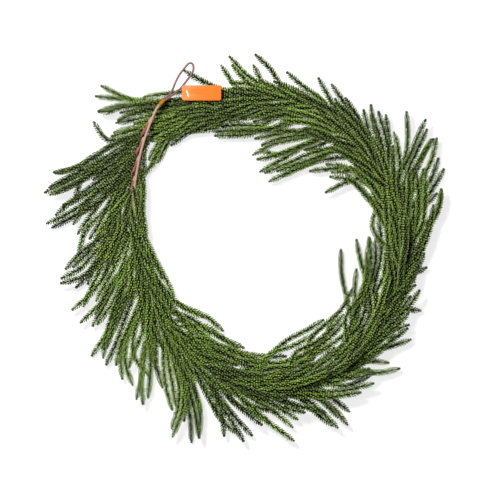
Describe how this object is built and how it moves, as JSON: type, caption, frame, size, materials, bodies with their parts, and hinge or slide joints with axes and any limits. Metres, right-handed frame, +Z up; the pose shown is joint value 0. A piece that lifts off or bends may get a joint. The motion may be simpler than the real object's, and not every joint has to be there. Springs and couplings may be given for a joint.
{
  "type": "artificial pine garland",
  "caption": "Artificial pine garland laid in an almost closed ring, with a taped wire stem, a hanging loop and a blank hang tag.",
  "frame": {"origin": "on the surface, under the middle of the ring", "axes": "+Z up from the surface; +Y towards the end with the hanging loop; +X towards the ring's right side"},
  "size_m": [0.7249, 0.7051, 0.0716],
  "materials": {
    "paper_tape": "matte",
    "loop_tape": "matte",
    "brass": "satin",
    "tag_board": "satin",
    "nylon": "satin",
    "foliage": "satin"
  },
  "bodies": {
    "root": {"stem": "paper_tape", "hanging_loop": "loop_tape", "crimp": "brass", "hang_tag": "tag_board", "tag_pin": "nylon", "spray_01": "foliage", "spray_02": "foliage", "spray_03": "foliage", "spray_04": "foliage", "spray_05": "foliage", "spray_06": "foliage", "spray_07": "foliage", "spray_08": "foliage", "spray_09": "foliage", "spray_10": "foliage", "spray_11": "foliage", "spray_12": "foliage", "spray_13": "foliage", "spray_14": "foliage", "spray_15": "foliage", "spray_16": "foliage", "spray_17": "foliage", "spray_18": "foliage", "spray_19": "foliage", "spray_20": "foliage", "spray_21": "foliage", "spray_22": "foliage", "spray_23": "foliage", "spray_24": "foliage", "spray_25": "foliage", "spray_26": "foliage", "spray_27": "foliage", "spray_28": "foliage", "spray_29": "foliage", "spray_30": "foliage", "spray_31": "foliage", "spray_32": "foliage", "spray_33": "foliage", "spray_34": "foliage", "spray_35": "foliage", "spray_36": "foliage", "spray_37": "foliage", "spray_38": "foliage", "spray_39": "foliage", "spray_40": "foliage", "spray_41": "foliage", "spray_42": "foliage", "spray_43": "foliage"}
  },
  "joints": []
}
